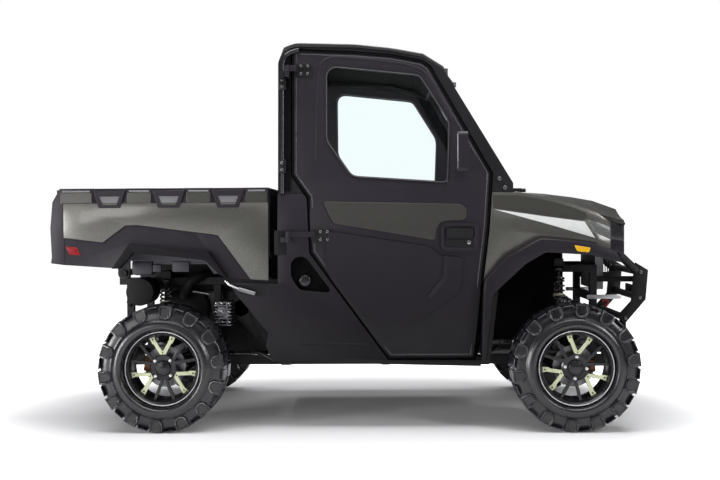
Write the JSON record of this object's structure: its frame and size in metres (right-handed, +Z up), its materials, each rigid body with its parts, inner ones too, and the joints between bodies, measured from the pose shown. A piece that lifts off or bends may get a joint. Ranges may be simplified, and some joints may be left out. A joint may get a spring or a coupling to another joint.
{
  "type": "side by side utility vehicle",
  "caption": "Two-seat side by side utility vehicle with a hard cab, rear-hinged doors, a tilting cargo bed with tailgate and four lugged tyres.",
  "frame": {"origin": "on the ground under the middle of the vehicle's length and width", "axes": "+X forward, +Y to the vehicle's left, +Z up"},
  "size_m": [3.19, 1.79, 2.045],
  "materials": {
    "paint": "metallic green-grey gloss",
    "black_plastic": "moulded, fine grain",
    "roof_plastic": "dark grey, satin",
    "frame_paint": "black powder coat",
    "glass": "clear, faint cyan",
    "seat_vinyl": "black vinyl, stitched",
    "tyre": "rubber, moulded lugs",
    "rim_black": "gloss black with champagne accents",
    "lamp_clear": "clear lens over a bright reflector",
    "lamp_red": "red lens",
    "cast": "as cast",
    "steel": "plated",
    "spring": "black springs, steel dampers",
    "bed_liner": "black textured"
  },
  "bodies": {
    "chassis": {"frame_rails": "frame_paint", "frame_posts": "frame_paint", "frame_cross_members": "frame_paint", "hitch_receiver": "frame_paint", "floor_pan": "black_plastic", "cab_frame": "frame_paint", "roof": "roof_plastic", "windshield": "glass", "rear_wall": "black_plastic", "rear_window": "glass", "side_panels": "black_plastic", "seat_base": "black_plastic", "seat_cushions": "seat_vinyl", "seat_backs": "seat_vinyl", "dashboard": "black_plastic", "cowl": "black_plastic", "front_fenders": "paint", "front_flares": "black_plastic", "headlamps": "lamp_clear", "fascia": "black_plastic", "radiator": "cast", "bumper": "frame_paint", "engine": "cast", "muffler": "steel", "drivetrain": "cast", "control_arms": "frame_paint", "shocks": "spring", "halfshafts": "steel", "rear_knuckles": "cast"},
    "hood": {"hood": "paint"},
    "door_right": {"door_right": "black_plastic", "door_glass_right": "glass", "mirror_right": "black_plastic"},
    "door_left": {"door_left": "black_plastic", "door_glass_left": "glass", "mirror_left": "black_plastic"},
    "knuckle_right": {"knuckle_right": "cast"},
    "knuckle_left": {"knuckle_left": "cast"},
    "steering_rack": {"tie_rods": "steel"},
    "steering_wheel": {"steering_wheel": "black_plastic"},
    "cargo_bed": {"bed_tub": "bed_liner", "bed_sides": "black_plastic", "bed_panels": "paint", "tail_lamps": "lamp_red"},
    "tailgate": {"tailgate": "paint"},
    "wheel_front_right": {"tyre_front_right": "tyre", "rim_front_right": "rim_black"},
    "wheel_front_left": {"tyre_front_left": "tyre", "rim_front_left": "rim_black"},
    "wheel_rear_right": {"tyre_rear_right": "tyre", "rim_rear_right": "rim_black"},
    "wheel_rear_left": {"tyre_rear_left": "tyre", "rim_rear_left": "rim_black"}
  },
  "joints": [
    {"name": "wheel_front_right_spin", "type": "hinge", "parent": "knuckle_right", "child": "wheel_front_right", "pos_m": [1.125, -0.6855, 0.33], "axis": [0, 1, 0], "continuous": true},
    {"name": "wheel_front_left_spin", "type": "hinge", "parent": "knuckle_left", "child": "wheel_front_left", "pos_m": [1.125, 0.6855, 0.33], "axis": [0, 1, 0], "continuous": true},
    {"name": "wheel_rear_right_spin", "type": "hinge", "parent": "chassis", "child": "wheel_rear_right", "pos_m": [-1.015, -0.6605, 0.33], "axis": [0, 1, 0], "continuous": true},
    {"name": "wheel_rear_left_spin", "type": "hinge", "parent": "chassis", "child": "wheel_rear_left", "pos_m": [-1.015, 0.6605, 0.33], "axis": [0, 1, 0], "continuous": true},
    {"name": "steer_left", "type": "hinge", "parent": "chassis", "child": "knuckle_left", "pos_m": [1.125, 0.535, 0.33], "axis": [0, 0, 1], "range_deg": [-30, 30]},
    {"name": "steer_right", "type": "hinge", "parent": "chassis", "child": "knuckle_right", "pos_m": [1.125, -0.535, 0.33], "axis": [0, 0, 1], "range_deg": [-30, 30]},
    {"name": "steering_wheel_turn", "type": "hinge", "parent": "chassis", "child": "steering_wheel", "pos_m": [0.205, 0.34, 1.14], "axis": [-0.9063, 0, 0.4226], "range_deg": [-270, 270]},
    {"name": "rack_slide", "type": "slide", "parent": "chassis", "child": "steering_rack", "axis": [0, 1, 0], "range_m": [-0.066, 0.066]},
    {"name": "door_right_swing", "type": "hinge", "parent": "chassis", "child": "door_right", "pos_m": [-0.355, -0.738, 1.4], "axis": [0, 0, -1], "range_deg": [0, 80]},
    {"name": "door_left_swing", "type": "hinge", "parent": "chassis", "child": "door_left", "pos_m": [-0.355, 0.738, 1.4], "axis": [0, 0, 1], "range_deg": [0, 80]},
    {"name": "bed_tilt", "type": "hinge", "parent": "chassis", "child": "cargo_bed", "pos_m": [-1.315, 0, 0.805], "axis": [0, -1, 0], "range_deg": [0, 40]},
    {"name": "tailgate_drop", "type": "hinge", "parent": "cargo_bed", "child": "tailgate", "pos_m": [-1.583, 0, 0.935], "axis": [0, -1, 0], "range_deg": [0, 90]},
    {"name": "hood_lift", "type": "hinge", "parent": "chassis", "child": "hood", "pos_m": [1.429, 0, 1.073], "axis": [0, 1, 0], "range_deg": [0, 60]}
  ],
  "couplings": [
    {"joint": "steer_right", "follows": "steer_left", "ratio": 1},
    {"joint": "steering_wheel_turn", "follows": "steer_left", "ratio": 9},
    {"joint": "rack_slide", "follows": "steer_left", "m_per_rad": -0.125}
  ]
}
